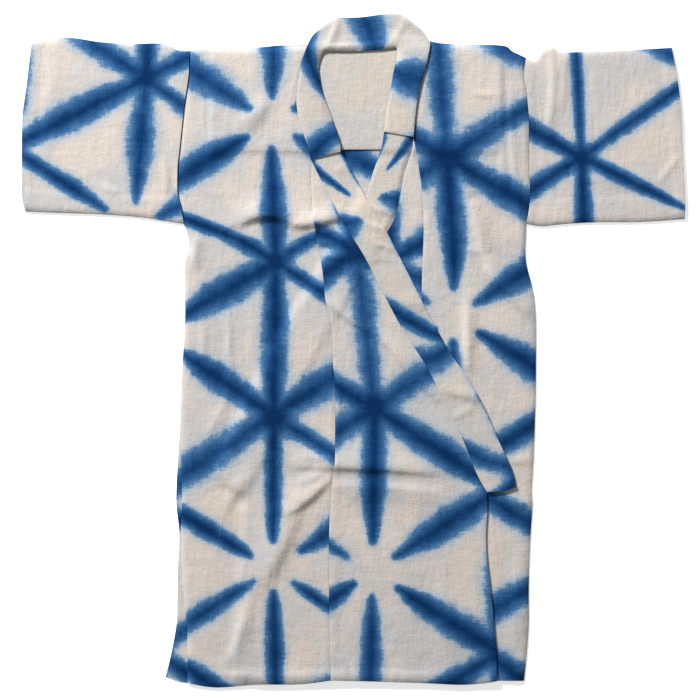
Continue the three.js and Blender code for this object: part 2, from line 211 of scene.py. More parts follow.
SLEEVE_LEFT = {
    "top": [
        (181, 307.5), (191, 305), (197, 312.5), (203, 317), (210, 318),
        (219, 313.5), (254, 314), (290, 315.5), (334, 318),
    ],
    "cuff": [(334, 318), (340.5, 281), (344, 250), (345, 221), (346.5, 189), (348, 157), (347.5, 138)],
    "bottom": [(181.5, 133), (197, 130.5), (219, 132.5), (248, 134.5), (301, 135), (347.5, 138)],
}

# ---- Folds: large ones, which the solids have as soft ridges, and the finer creases between them ----
# A run from 1 to 2 that bows to its left, with a width to its left and its right, raised by height. The
# layer "under" is the left front's and "over" is the right front's, each with what is sewn to it.
FOLDS = table("layer x1 y1 x2 y2 bow left right height", [
    ("over", -122, 132, -62, 134, 9, 16, 4, 4.0),  # slack over the waist
    ("over", -66, 131, -8, 143, -2, 12, 4, 3.2),
    ("over", -38, 112, -18, 110, 1, 5, 2, 1.4),
    ("over", -31, 97, -8, 96, 1, 5, 2, 1.3),
    ("over", -42, 140, -41, 112, 1, 4, 3, 1.1),
    ("over", -88, 266, -118, 234, 2, 8, 10, 2.0),  # chest
    ("over", -158, 264, -157, 240, 0, 3, 3, 0.5),
    ("over", -147, 264, -147, 240, 0, 3, 3, 0.5),
    ("over", -164, 120, -165, 88, -3, 7, 3, 2.0),  # under the arm
    ("over", -132, 44, -132, -42, 1, 5, 2.5, 1.1),  # old creases down the right side
    ("over", -132, -42, -156, -90, 2, 5, 2.5, 1.0),
    ("over", -160, 32, -158, -6, 1, 5, 2.5, 1.0),
    ("over", -30, 54, 22, 18, -2, 8, 4, 1.7),  # over the lapped collar's edge
    ("over", 22, 18, 60, -26, 3, 8, 4, 1.7),
    ("over", 60, -26, 90, -52, 0, 8, 4, 1.6),
    ("over", -66, -121, 96, -129, 2, 18, 4, 2.8),  # across the skirt
    ("over", -30, -142, 92, -150, 2, 5, 14, 1.5),
    ("over", -54, -112, -22, -118, 3, 5, 4, 0.9),
    ("over", -30, -126, -58, -139, 2, 3, 6, 1.1),
    ("over", -22, -129, -72, -171, 4, 4, 13, 2.8),  # from it down over the right front
    ("over", -58, -160, -98, -250, 3, 8, 19, 3.2),
    ("over", -110, -256, -134, -332, 3, 9, 4, 2.0),
    ("over", -108, -129, -139, -178, -3, 5, 9, 1.3),
    ("over", 92, -240, 104, -346, -3, 12, 8, 1.2),
    ("over", 40, -200, 64, -290, 3, 10, 8, 0.9),
    ("over", -18, -318, -8, -344, 2, 4, 3, 0.9),
    ("over", 2, -322, 8, -345, -2, 4, 3, 0.8),
    ("under", 92, 232, 120, 158, 2, 12, 3, 3.2),  # the drag line from the neck
    ("under", 120, 158, 137, 100, 2, 12, 4, 2.8),
    ("under", 137, 100, 186, 37, -5, 10, 5, 2.4),
    ("under", 139, 88, 160, 62, -2, 5, 3, 1.3),
    ("under", 118, 106, 132, 103, 1, 3, 3, 1.3),
    ("under", 118, 54, 118, -24, 1, 8, 3, 3.0),
    ("under", 153, 303, 160, 158, -2, 4, 2.5, 1.1),  # tucks beside the armhole
    ("under", 165, 279, 176, 121, -3, 4, 2.5, 1.1),
    ("under", 122, 271, 149, 269, -1, 3, 4, 0.8),
    ("under", 90, 319, 109, 301, 0, 4, 4, 1.0),
    ("under", 164, -116, 188, -114, 0, 4, 4, 1.0),
    ("under", 159, -160, 188, -160, 0, 4, 5, 0.8),
    ("under", 172, -200, 168, -318, 3, 12, 8, 1.3),
    ("under", 175, -318, 172, -340, 1, 4, 3, 0.9),
    ("under", 16, 153, 42, 144, -2, 4, 3, 1.1),
    ("sleeve_right", -200, 197, -196, 166, 1, 5, 3, 1.5),
    ("sleeve_right", -266, 172, -246, 165, 0, 3, 4, 1.0),
    ("sleeve_right", -316, 306, -330, 200, 4, 12, 8, 0.9),
    ("sleeve_left", 208, 314, 204, 230, 3, 6, 4, 1.9),
    ("sleeve_left", 220, 312, 218, 250, 2, 4, 5, 1.3),
    ("sleeve_left", 321, 178, 338, 201, 0, 3, 5, 1.0),
    ("sleeve_left", 258, 213, 291, 234, 0, 2, 2, 0.5),
    ("sleeve_left", 240, 180, 320, 168, 4, 12, 8, 0.9),
    ("collar_right", -20, 186, -8, 194, 0, 3, 3, 0.8),
    ("collar_right", 14, 132, 34, 126, 1, 3, 3, 0.8),
    ("collar_right", 22, 112, 44, 104, 1, 3, 3, 0.7),
    ("collar_right", 17, 93, 34, 99, 0, 3, 3, 0.8),
    ("collar_right", 48, 52, 76, 44, 2, 9, 7, 1.1),
    ("collar_right", 93, -42, 139, -54, 1, 9, 4, 1.3),
    ("collar_right", 104, -72, 123, -59, 0, 3, 4, 0.9),
    ("over_collar", -18, 347, -30, 316, 2, 5, 3, 1.5),
    ("over_collar", -40, 328, -37, 298, -2, 3, 4, 1.1),
    ("over_collar", 50, 350, 77, 327, 2, 5, 4, 1.3),
    ("over_collar", 54, 342, 52, 314, -7, 3, 4, 1.0),
    ("over_collar", 46, 300, 74, 296, 2, 6, 4, 1.2),
    ("over_collar", -28, 322, 38, 326, 0, 1.6, 1.6, -1.0),  # a stitched groove
])

# Turned hems and allowances: the cloth stands higher within this width of a run.
HEMS = table("layer x1 y1 x2 y2 width height", [
    ("over", -174, -349, 150.5, -348, 11, 0.5),
    ("under", -123, -346, 179, -346.5, 11, 0.5),
    ("over", 150, -346.5, 140, -150, 8, 0.5),
    ("sleeve_right", -344.5, 146, -178, 136, 22, 0.4),
    ("sleeve_right", -337.5, 325, -348, 146, 9, 0.5),
    ("sleeve_right", -183, 300, -178, 133, 8, 0.5),
    ("sleeve_left", 181.5, 133, 347.5, 138, 24, 0.4),
    ("sleeve_left", 347.5, 138, 334, 318, 9, 0.5),
    ("sleeve_left", 181.5, 133, 181.5, 300, 8, 0.5),
    ("over_collar", -24, 314, 38, 317, 7, 0.6),
    ("over", -19.5, -36, -25, -346, 7, 0.4),
])

# ---- The dye: a triangular lattice folded into the cloth ----
# Cloth folded into a triangular stack, clamped and dipped takes the dye along the lines of a triangular
# lattice. A third of its knots stay bare, and rays meet as stars at the others. Each piece was cut from
# the cloth at another place: x and y are those of a bare knot, and on a strip they run across and along
# it. Knots lie a side apart along a column, and columns lie a column apart. The lattice turns by the
# tilt in degrees, leans by so many mm for each mm above a level, and has rays so broad for their kind.
LATTICES = table("panel x y side column tilt broad lean above seed", [
    ("front_right", -84, 259, 163, 130, 0, 1.1, 0, 0, 12),
    ("okumi_right", 20, -234, 170, 134, 0, 1.1, 0.12, -62, 4),
    ("front_left", 105, 33, 166, 137, 0, 1.15, 0.09, 100, 4),
    ("okumi_left", 38, 250, 160, 138, 0, 1.0, 0, 0, 9),
    ("sleeve_right", -231, 126, 160, 134, -4, 1.0, 0, 0, 11),
    ("sleeve_left", 229, 365, 160, 137, 3, 0.75, 0, 0, 13),
    ("back", -84, 253, 163, 130, 0, 1.1, 0, 0, 12),
    ("over_collar", -52, -26, 164, 138, 0, 1.3, 0, 0, 19),
    ("collar_right", 52, 227, 162, 138, 0, 1.1, 0, 0, 23),
    ("collar_left", -5, 200, 160, 138, 0, 1.0, 0, 0, 29),
])
STRIPS = ("over_collar", "collar_right", "collar_left")
SLACK_PANELS = ("front_right", "okumi_right")
SLACK = 19.0  # cloth taken up by the slack over the waist of the right front
SLACK_LOW, SLACK_HIGH = 116, 146  # the levels between which that lies
REPEATS = 5  # knots on each side of the first bare one
KNOT_SHIFT = 4.0  # how far a knot may lie from its place each way
RAY_HALF = 12.0  # half the width of a ray at its widest
RAY_ROOT = 7.5  # the same where it leaves a star
RAY_TIP = 6.5  # the same where it ends, short of a bare knot
RAY_STOP = 29.0  # how far from the knot it ends
TIP_FAINT = 0.4  # how much shallower the dye is at that end
TIP_FADE = 12.0  # over how far from the end that wears off
STAR_HALF = 19.0  # half the width of a star's heart
STAR_DEPTH = 1.35  # how deep the dye went there, against 1 in a ray
BLEND = 0.12  # how softly two rays run together
SHALLOWEST = -3  # depth far from every ray


# ---- Curves and patches ----
CURVE_PARTS = 8  # straight parts in each span of a curve


def curve(points):
    """The smooth curve through some points, as closely spaced points."""
    p = np.array(points, float)
    p = np.vstack([2 * p[0] - p[1], p, 2 * p[-1] - p[-2]])
    t = np.linspace(0, 1, CURVE_PARTS + 1)[:-1, None]
    spans = [
        (2 * t**3 - 3 * t**2 + 1) * b + (t**3 - 2 * t**2 + t) * 0.5 * (c - a)
        + (3 * t**2 - 2 * t**3) * c + (t**3 - t**2) * 0.5 * (d - b)
        for a, b, c, d in zip(p, p[1:], p[2:], p[3:])
    ]
    return np.vstack(spans + [p[-2:-1]])


def edge(rows, x, y="y"):
    """The points that two columns of a table make."""
    return [(row[x], row[y]) for row in rows]


def chain(*curves):
    """Curves joined end to end, without the points that fall together."""
    joined = np.vstack([np.array(c, float) for c in curves])
    keep = np.ones(len(joined), bool)
    keep[1:] = np.linalg.norm(np.diff(joined, axis=0), axis=1) > 0.05
    return joined[keep]


def shares(length, step):
    """Places from 0 to 1 along a length, with one close to each end for a crisp rim."""
    count = max(int(round(length / step)), 2)
    inner = np.linspace(0, 1, count + 1)
    rim = min(EDGE_STEP / length, 0.2 / count)
    return np.sort(np.concatenate([inner, [rim, 1 - rim]]))


def along(points, places):
    """The points at some places, from 0 to 1, along a run of points."""
    gone = np.concatenate([[0], np.cumsum(np.linalg.norm(np.diff(points, axis=0), axis=1))])
    return np.column_stack([np.interp(places * gone[-1], gone, points[:, k]) for k in (0, 1)])


def length_of(points):
    return float(np.linalg.norm(np.diff(points, axis=0), axis=1).sum())


def patch(top, bottom, left, right, step):
    """A net of points across four edges. Rows run down from the top, columns from left to right."""
    us = shares(max(length_of(top), length_of(bottom)), step)
    vs = shares(max(length_of(left), length_of(right)), step)
    t, b = along(top, us), along(bottom, us)
    l, r = along(left, vs), along(right, vs)
    u, v = us[None, :, None], vs[:, None, None]
    corners = ((1 - v) * ((1 - u) * t[0] + u * t[-1]) + v * ((1 - u) * b[0] + u * b[-1]))
    return (1 - v) * t[None] + v * b[None] + (1 - u) * l[:, None] + u * r[:, None] - corners


ARMHOLE_ROWS = [row for row in BODY if row["y"] >= UNDERARM]
SKIRT_ROWS = [row for row in BODY if row["y"] < UNDERARM]
over_outer, over_inner = edge(OVER_COLLAR, "out_x", "out_y"), edge(OVER_COLLAR, "in_x", "in_y")
neck_right, neck_left = over_outer[:FOLD_RIGHT + 1], over_outer[FOLD_LEFT:]
armhole_right = [SHOULDER_RIGHT[0]] + edge(ARMHOLE_ROWS, "front_right")
armhole_left = [SHOULDER_LEFT[-1]] + edge(ARMHOLE_ROWS, "left")
side_right = armhole_right[-1:] + edge(SKIRT_ROWS, "front_right") + FRONT_HEM[:1]
side_left = armhole_left[-1:] + edge(SKIRT_ROWS, "left") + BACK_HEM[-1:]
back_right = armhole_right[-1:] + edge(SKIRT_ROWS, "back_right") + BACK_HEM[:1]
seam_right = [over_outer[0]] + edge(OKUMI_SEAM, "right") + FRONT_HEM[-1:]
seam_left = [over_outer[-1]] + edge(OKUMI_SEAM, "left") + [SEAM_FOOT_LEFT]
collar_seam_right = edge(COLLAR_RIGHT, "seam_x", "seam_y")
collar_seam_left = edge(COLLAR_LEFT, "seam_x", "seam_y")
collar_fold_right = edge(COLLAR_RIGHT, "fold_x", "fold_y")
collar_fold_left = edge(COLLAR_LEFT, "fold_x", "fold_y")

# The four edges of each panel: top, bottom, left and right as seen from above.
EDGES = {
    "back": (
        chain(curve(SHOULDER_RIGHT), curve(NECK_SEAM), curve(SHOULDER_LEFT)), curve(BACK_HEM),
        chain(curve(armhole_right), curve(back_right)), chain(curve(armhole_left), curve(side_left)),
    ),
    "yoke_lining": (
        curve(YOKE_TOP), curve(YOKE_BOTTOM), curve([YOKE_TOP[0], YOKE_BOTTOM[0]]),
        curve([YOKE_TOP[-1], (153, 273), YOKE_BOTTOM[-1]]),
    ),
    "front_right": (
        curve(SHOULDER_RIGHT), curve(FRONT_HEM), chain(curve(armhole_right), curve(side_right)),
        chain(curve(neck_right[::-1]), curve(seam_right)),
    ),
    "front_left": (
        curve(SHOULDER_LEFT), curve([SEAM_FOOT_LEFT, BACK_HEM[-1]]),
        chain(curve(neck_left), curve(seam_left)), chain(curve(armhole_left), curve(side_left)),
    ),
    "okumi_right": (
        curve([over_outer[0], (-43.7, 198.6)]), curve(OKUMI_HEM), curve(seam_right),
        chain(curve(collar_seam_right), curve(collar_seam_right[-1:] + EDGE_RIGHT)),
    ),
    "okumi_left": (
        curve([(62, 222.5), over_outer[-1]]), curve([EDGE_LEFT[-1], (-20, -346), SEAM_FOOT_LEFT]),
        chain(curve(collar_seam_left), curve(collar_seam_left[-1:] + EDGE_LEFT)), curve(seam_left),
    ),
    "collar_right": (
        curve([over_outer[CENTRE_BACK], over_inner[CENTRE_BACK]]),
        curve([collar_seam_right[-1], (156, -147.5), collar_fold_right[-1]]),
        chain(curve(over_outer[CENTRE_BACK::-1]), curve(collar_seam_right)),
        chain(curve(over_inner[CENTRE_BACK::-1]), curve(collar_fold_right)),
    ),
    "collar_left": (
        curve([over_inner[CENTRE_BACK], over_outer[CENTRE_BACK]]),
        curve([collar_fold_left[-1], collar_seam_left[-1]]),
        chain(curve(over_inner[CENTRE_BACK:]), curve(collar_fold_left)),
        chain(curve(over_outer[CENTRE_BACK:]), curve(collar_seam_left)),
    ),
    "over_collar": (
        curve([over_outer[0], over_inner[0]]), curve([over_outer[-1], over_inner[-1]]),
        curve(over_outer), curve(over_inner),
    ),
    "sleeve_right": (
        curve(SLEEVE_RIGHT["top"][::-1]), curve(SLEEVE_RIGHT["bottom"][::-1]),
        curve(SLEEVE_RIGHT["cuff"]), curve(armhole_right),
    ),
    "sleeve_left": (
        curve(SLEEVE_LEFT["top"]), curve(SLEEVE_LEFT["bottom"]),
        curve(armhole_left), curve(SLEEVE_LEFT["cuff"]),
    ),
}


def outline(name):
    """A panel's four edges as one closed run, clockwise."""
    top, bottom, left, right = EDGES[name]
    return chain(top, right, bottom[::-1], left[::-1])


# ---- The net of heights, a little wider than the garment all round ----
NET_STEP = 2.0
NET_X = np.arange(-360, 361, NET_STEP)
NET_Y = np.arange(-366, 367, NET_STEP)
net_x, net_y = np.meshgrid(NET_X, NET_Y)


def inside(x, y, points):
    """Whether each place is inside a closed run of points."""
    found = np.zeros(x.shape, bool)
    for (ax, ay), (bx, by) in zip(points, np.roll(points, -1, axis=0)):
        if ay != by:
            found ^= ((ay > y) != (by > y)) & (x < ax + (y - ay) / (by - ay) * (bx - ax))
    return found


def run_distance(x, y, points):
    """For each place, its distance to a run of points, the share of the run there, and the side."""
    best = np.full(x.shape, 1e9)
    share, side = np.zeros(x.shape), np.zeros(x.shape)
    lengths = np.linalg.norm(np.diff(points, axis=0), axis=1)
    gone = np.concatenate([[0], np.cumsum(lengths)])
    for k, (a, b) in enumerate(zip(points, points[1:])):
        d = b - a
        t = np.clip(((x - a[0]) * d[0] + (y - a[1]) * d[1]) / (d @ d), 0, 1)
        away = np.hypot(x - a[0] - t * d[0], y - a[1] - t * d[1])
        nearer = away < best
        best = np.where(nearer, away, best)
        share = np.where(nearer, (gone[k] + t * lengths[k]) / gone[-1], share)
        side = np.where(nearer, d[0] * (y - a[1]) - d[1] * (x - a[0]), side)
    return best, share, np.sign(side)


def spread(heights, move):
    """The highest neighbour of each knot, lowered as move says."""
    padded = np.pad(heights, 1, mode="edge")
    rows, columns = heights.shape
    best = heights
    for dy in (0, 1, 2):
        for dx in (0, 1, 2):
            drop = move * math.hypot(dx - 1, dy - 1)
            best = np.maximum(best, padded[dy:dy + rows, dx:dx + columns] - drop)
    return best


def soften(heights, times):
    """Heights averaged with their neighbours so many times."""
    for _ in range(times):
        for axis in (0, 1):
            low, high = np.roll(heights, 1, axis), np.roll(heights, -1, axis)
            heights = 0.25 * low + 0.5 * heights + 0.25 * high
    return heights


def draped(heights):
    """A cloth that comes down gently from whatever lifts it."""
    for _ in range(DRAPE_REACH):
        heights = spread(heights, DRAPE_SLOPE * NET_STEP)
    return soften(heights, 2)


def bowed(x1, y1, x2, y2, bow):
    """The points of a run that bows to its left by so much at its middle."""
    a, b = np.array([x1, y1], float), np.array([x2, y2], float)
    t = np.linspace(0, 1, BOW_PARTS + 1)[:, None]
    left = np.array([a[1] - b[1], b[0] - a[0]]) / np.linalg.norm(b - a)
    return a + t * (b - a) + 4 * t * (1 - t) * bow * left


def folds(x, y, layer):
    """How far the folds and hems of a layer raise each place."""
    rise = np.zeros(x.shape)
    for fold in FOLDS:
        if fold["layer"] != layer:
            continue
        run = bowed(*(fold[k] for k in ("x1", "y1", "x2", "y2", "bow")))
        away, share, side = run_distance(x, y, run)
        width = np.where(side > 0, fold["left"], fold["right"])
        ends = np.sin(np.pi * np.clip(share, 0.02, 0.98)) ** 0.5
        rise += fold["height"] * ends * np.exp(-((away / width) ** 2))
    for hem in HEMS:
        if hem["layer"] == layer:
            run = np.array([(hem["x1"], hem["y1"]), (hem["x2"], hem["y2"])], float)
            away, _, _ = run_distance(x, y, run)
            rise += hem["height"] / (1 + np.exp(np.minimum((away - hem["width"]) / HEM_EDGE, 50)))
    return rise


def rumple(x, y, seed):
    """Gentle unevenness of cloth that was worn and washed, mostly between -1 and 1."""
    rng = np.random.RandomState(seed)
    total = np.zeros(x.shape)
    for wave, height in RUMPLES:
        for _ in range(WAVES):
            turn, phase = rng.uniform(0, 2 * np.pi, 2)
            run = (x * np.cos(turn) + y * np.sin(turn)) * 2 * np.pi / (wave * rng.uniform(0.8, 1.25))
            total += height * np.sin(run + phase) / WAVES
    return total


def laid(heights, layer, lift, seed):
    """A layer over what lies beneath it, with its folds and its unevenness."""
    return draped(heights) + folds(net_x, net_y, layer) + lift + lift * rumple(net_x, net_y, seed)


def raise_over(heights, name, tops, until=None):
    """Heights with a panel laid on them up to its tops and a gap, below a level if there is one."""
    points = outline(name)
    away, _, _ = run_distance(net_x, net_y, points[::6])
    covered = inside(net_x, net_y, points) | (away < NET_STEP)
    if until is not None:
        covered &= net_y < until
    return np.where(covered, np.maximum(heights, tops + GAP), heights)


surface = np.zeros(net_x.shape)
back_laid = raise_over(surface, "back", surface + CLOTH)
taken = raise_over(back_laid, "yoke_lining", surface + 2 * CLOTH + GAP)
under = laid(taken, "under", UNEVEN, 21)
for name in ("front_left", "okumi_left"):
    taken = raise_over(taken, name, under + CLOTH)
at_neck = raise_over(taken, "collar_left", under + BAND)
taken = raise_over(taken, "collar_left", under + BAND, NECK_LEVEL)
over = laid(taken, "over", UNEVEN_OVER, 22)
band = over + folds(net_x, net_y, "collar_right")
neck = draped(raise_over(at_neck, "collar_right", over + BAND)) + folds(net_x, net_y, "over_collar")
levels = {
    "back": surface,
    "yoke_lining": surface + CLOTH + GAP,
    "front_left": under, "okumi_left": under, "collar_left": under,
    "front_right": over, "okumi_right": over, "collar_right": band, "over_collar": neck,
}
for name, seed in (("sleeve_right", 31), ("sleeve_left", 32)):
    levels[name] = laid(raise_over(back_laid, name, surface + CLOTH), name, UNEVEN, seed)


def height_at(name, x, y):
    """The height of what a panel lies on, at each place."""
    field = levels[name]
    i = np.clip((x - NET_X[0]) / NET_STEP, 0, len(NET_X) - 1.001)
    j = np.clip((y - NET_Y[0]) / NET_STEP, 0, len(NET_Y) - 1.001)
    i0, j0 = i.astype(int), j.astype(int)
    fi, fj = i - i0, j - j0
    low = field[j0, i0] * (1 - fi) + field[j0, i0 + 1] * fi
    high = field[j0 + 1, i0] * (1 - fi) + field[j0 + 1, i0 + 1] * fi
    return low * (1 - fj) + high * fj


# ---- How deep the dye went ----
def ray_half(share, start, end, rng):
    """Half the width of a ray at a share of its run, widest near its middle."""
    widest = rng.uniform(0.35, 0.7)
    middle = RAY_HALF * rng.uniform(0.6, 1.3)
    rise = np.sin(np.pi / 2 * np.clip(share / widest, 0, 1))
    fall = np.cos(np.pi / 2 * np.clip((share - widest) / (1 - widest), 0, 1))
    return np.where(share < widest, start + (middle - start) * rise, end + (middle - end) * fall)


def lattice_rays(x, y, lattice):
    """The rays and star hearts of one lattice, each about 1 on its middle and 0 on its rim."""
    rng = np.random.RandomState(lattice["seed"])
    turn = math.radians(lattice["tilt"])
    leaning = lattice["lean"] * np.maximum(y - lattice["above"], 0)
    away_x, away_y = x + leaning - lattice["x"], y - lattice["y"]
    u = away_x * math.cos(turn) + away_y * math.sin(turn)
    v = away_y * math.cos(turn) - away_x * math.sin(turn)
    numbers = range(-REPEATS, REPEATS + 1)
    knots = {}
    for i in numbers:
        for j in numbers:
            place = np.array([i * lattice["column"], (j + i / 2) * lattice["side"]])
            knots[i, j] = place + rng.uniform(-KNOT_SHIFT, KNOT_SHIFT, 2)
    for (i, j), knot in knots.items():
        for to in ((i + 1, j), (i, j + 1), (i + 1, j - 1)):
            if to not in knots:
                continue
            bare = [(a - b) % 3 == 0 for a, b in ((i, j), to)]
            run = np.array([knot, knots[to]])
            along_run = (run[1] - run[0]) / np.linalg.norm(run[1] - run[0])
            for k, towards in ((0, along_run), (1, -along_run)):
                if bare[k]:
                    run[k] += towards * RAY_STOP * rng.uniform(0.8, 1.25)
            away, share, _ = run_distance(u, v, run)
            start, end = (RAY_TIP if tip else RAY_ROOT for tip in bare)
            half = lattice["broad"] * ray_half(share, start, end, rng)
            to_end = [length_of(run) * np.abs(share - k) for k in (0, 1)]
            faint = sum(TIP_FAINT * np.exp(-to_end[k] / TIP_FADE) for k in (0, 1) if bare[k])
            yield rng.uniform(0.7, 1.05) * (1 - away / half) - faint
        if (i - j) % 3:
            heart = lattice["broad"] * STAR_HALF * rng.uniform(0.75, 1.3)
            yield STAR_DEPTH * (1 - np.hypot(u - knot[0], v - knot[1]) / heart)


def along_strip(x, y):
    """Places across and along a strip, as it was cut."""
    steps = np.hypot(np.diff(x, axis=1), np.diff(y, axis=1))
    across = np.hstack([np.zeros((len(x), 1)), np.cumsum(steps, axis=1)])
    middle = x.shape[1] // 2
    strides = np.hypot(np.diff(x[:, middle]), np.diff(y[:, middle]))
    gone = np.concatenate([[0], np.cumsum(strides)])
    return across, gone[:, None] + 0 * across


def dye_of(name, x, y):
    """1 on the middle line of a ray, 0 on its rim and less beyond, with the rays run together."""
    if name in STRIPS:
        x, y = along_strip(x, y)
    if name in SLACK_PANELS:
        y = y + SLACK * np.clip((y - SLACK_LOW) / (SLACK_HIGH - SLACK_LOW), 0, 1)
    total = np.full(x.shape, math.exp(SHALLOWEST / BLEND))
    for lattice in LATTICES:
        if lattice["panel"] == name:
            for depth in lattice_rays(x, y, lattice):
                total += np.exp(np.maximum(depth, SHALLOWEST) / BLEND)
    return BLEND * np.log(total)


# ---- Materials ----
def node(tree, kind, inputs=(), **settings):
    """A shader node with its settings, and with a value or a link for each input named."""
    made = tree.nodes.new(kind)
    for key, value in settings.items():
        setattr(made, key, value)
    for key, value in dict(inputs).items():
        if isinstance(value, bpy.types.NodeSocket):
            tree.links.new(value, made.inputs[key])
        else:
            made.inputs[key].default_value = value
    return made


def maths(tree, operation, a, b, c=0.0):
    return node(tree, "ShaderNodeMath", {0: a, 1: b, 2: c}, operation=operation).outputs[0]


def noise(tree, place, scale, detail, seed):
    """Noise with a scale for each axis, in waves to the metre, from 0 to 1 about 0.5."""
    shift = (seed, seed * 0.7, seed * 1.3)
    mapped = node(tree, "ShaderNodeMapping", {"Vector": place, "Scale": scale, "Location": shift}).outputs[0]
    return node(tree, "ShaderNodeTexNoise", {
        "Vector": mapped, "Scale": 1.0, "Detail": detail, "Roughness": 0.55,
    }).outputs["Fac"]


def ramp(tree, value, stops):
    """The colour that a value from 0 to 1 has between some stops."""
    made = node(tree, "ShaderNodeValToRGB", {"Fac": value})
    band = made.color_ramp
    while len(band.elements) < len(stops):
        band.elements.new(0.5)
    for element, (at, colour) in zip(band.elements, stops):
        element.position = at
        element.color = (*colour, 1)
    return made.outputs["Color"]


def span(tree, value, low, high, out_low=0.0, out_high=1.0):
    """A value run smoothly from one range to another."""
    return node(tree, "ShaderNodeMapRange", {
        "Value": value, "From Min": low, "From Max": high, "To Min": out_low, "To Max": out_high,
    }, interpolation_type="SMOOTHSTEP").outputs[0]


def mix(tree, factor, a, b, kind="MIX"):
    """Two colours mixed by a factor. Of the mix node's sockets, 6, 7 and its output 2 are the colours."""
    a, b = (c if isinstance(c, bpy.types.NodeSocket) else (*c, 1) for c in (a, b))
    return node(
        tree, "ShaderNodeMix", {"Factor": factor, 6: a, 7: b}, data_type="RGBA", blend_type=kind,
    ).outputs[2]


CREAM = (0.575, 0.512, 0.462)
GREY = (0.480, 0.468, 0.460)
COLLAR_CREAM = (0.550, 0.486, 0.425)
COLLAR_GREY = (0.480, 0.460, 0.436)
LINING_CREAM = (0.525, 0.478, 0.425)
LINING_GREY = (0.465, 0.460, 0.452)
AGED = (0.520, 0.441, 0.346)
STAIN = (0.390, 0.430, 0.475)
BLEED_MEAN = 0.91  # what the noises add to the depth of the dye on the mean
# From the bleeding outside a ray's rim to its middle line.
INDIGO = [
    (0.0, (0.380, 0.440, 0.505)),
    (0.16, (0.190, 0.300, 0.425)),
    (0.32, (0.064, 0.160, 0.310)),
    (0.54, (0.022, 0.088, 0.220)),
    (0.78, (0.008, 0.046, 0.143)),
    (1.0, (0.003, 0.025, 0.090)),
]


def cotton(name, cream, grey, aged_share):
    """Plain-weave cotton. The dye's depth comes from each panel; its bleeding follows the threads."""
    material = bpy.data.materials.new(name)
    material.use_nodes = True
    tree = material.node_tree
    shader = tree.nodes["Principled BSDF"]
    place = node(tree, "ShaderNodeTexCoord").outputs["Object"]

    weft = noise(tree, place, (125, 880, 125), 3, 3.1)
    warp = noise(tree, place, (820, 170, 170), 3, 7.7)
    blotch = noise(tree, place, (75, 75, 75), 2, 1.9)
    drift = noise(tree, place, (22, 22, 22), 1, 5.3)
    bleed = node(tree, "ShaderNodeAttribute", attribute_name="dye").outputs["Fac"]
    for part, share in ((weft, 0.46), (warp, 0.4), (blotch, 0.5), (drift, 0.5)):
        bleed = maths(tree, "MULTIPLY_ADD", part, share, bleed)
    bleed = maths(tree, "SUBTRACT", bleed, BLEED_MEAN)

    tone = span(tree, noise(tree, place, (17, 13, 15), 3, 2.2), 0.38, 0.62)
    undyed = mix(tree, tone, cream, grey)
    age = span(tree, noise(tree, place, (24, 24, 24), 2, 9.4), 0.45, 0.75, 0, aged_share)
    undyed = mix(tree, age, undyed, AGED)
    undyed = mix(tree, span(tree, bleed, -1.1, -0.3, 0, 0.35), undyed, grey)
    undyed = mix(tree, span(tree, bleed, -0.7, -0.15, 0, 0.8), undyed, STAIN)
    depth_share = maths(tree, "MULTIPLY_ADD", bleed, 0.77, 0.23)
    colour = mix(tree, span(tree, bleed, -0.34, 0.08), undyed, ramp(tree, depth_share, INDIGO))

    slubs_up = noise(tree, place, (900, 50, 90), 3, 4.4)
    slubs_across = noise(tree, place, (50, 900, 90), 3, 8.8)
    slubs = maths(tree, "ADD", slubs_up, slubs_across)
    grain = noise(tree, place, (1100, 1100, 1100), 1, 0.6)
    weight = node(tree, "ShaderNodeMapRange", {
        "Value": maths(tree, "MULTIPLY_ADD", grain, 0.5, slubs),
        "From Min": 0.95, "From Max": 1.55, "To Min": 0.93, "To Max": 1.06,
    }).outputs[0]
    shade = node(tree, "ShaderNodeCombineColor", {0: weight, 1: weight, 2: weight}).outputs[0]
    tree.links.new(mix(tree, 1.0, colour, shade, "MULTIPLY"), shader.inputs["Base Color"])

    threads_up = noise(tree, place, (1500, 160, 200), 1, 6.1)
    threads_across = noise(tree, place, (160, 1500, 200), 1, 2.7)
    threads = maths(tree, "ADD", threads_up, threads_across)
    long_crinkles = noise(tree, place, (150, 42, 90), 3, 1.3)
    small_crinkles = noise(tree, place, (90, 120, 90), 4, 3.6)
    crinkle = maths(tree, "MULTIPLY_ADD", long_crinkles, 1.3, small_crinkles)
    low = node(tree, "ShaderNodeBump", {"Height": crinkle, "Strength": 0.45, "Distance": 0.0011}).outputs[0]
    weave = node(tree, "ShaderNodeBump", {
        "Height": threads, "Strength": 0.5, "Distance": 0.0003, "Normal": low,
    }).outputs[0]
    tree.links.new(weave, shader.inputs["Normal"])
    shader.inputs["Roughness"].default_value = 0.92
    shader.inputs["Specular IOR Level"].default_value = 0.03
    return material


MATERIALS = {
    "shibori_cotton": cotton("shibori_cotton", CREAM, GREY, 0.18),
    "collar_cotton": cotton("collar_cotton", COLLAR_CREAM, COLLAR_GREY, 0.5),
    "lining_cotton": cotton("lining_cotton", LINING_CREAM, LINING_GREY, 0.15),
}
SLOTS = {part["node"]: part["material_slot"] for part in frame["record"]["subparts"]}


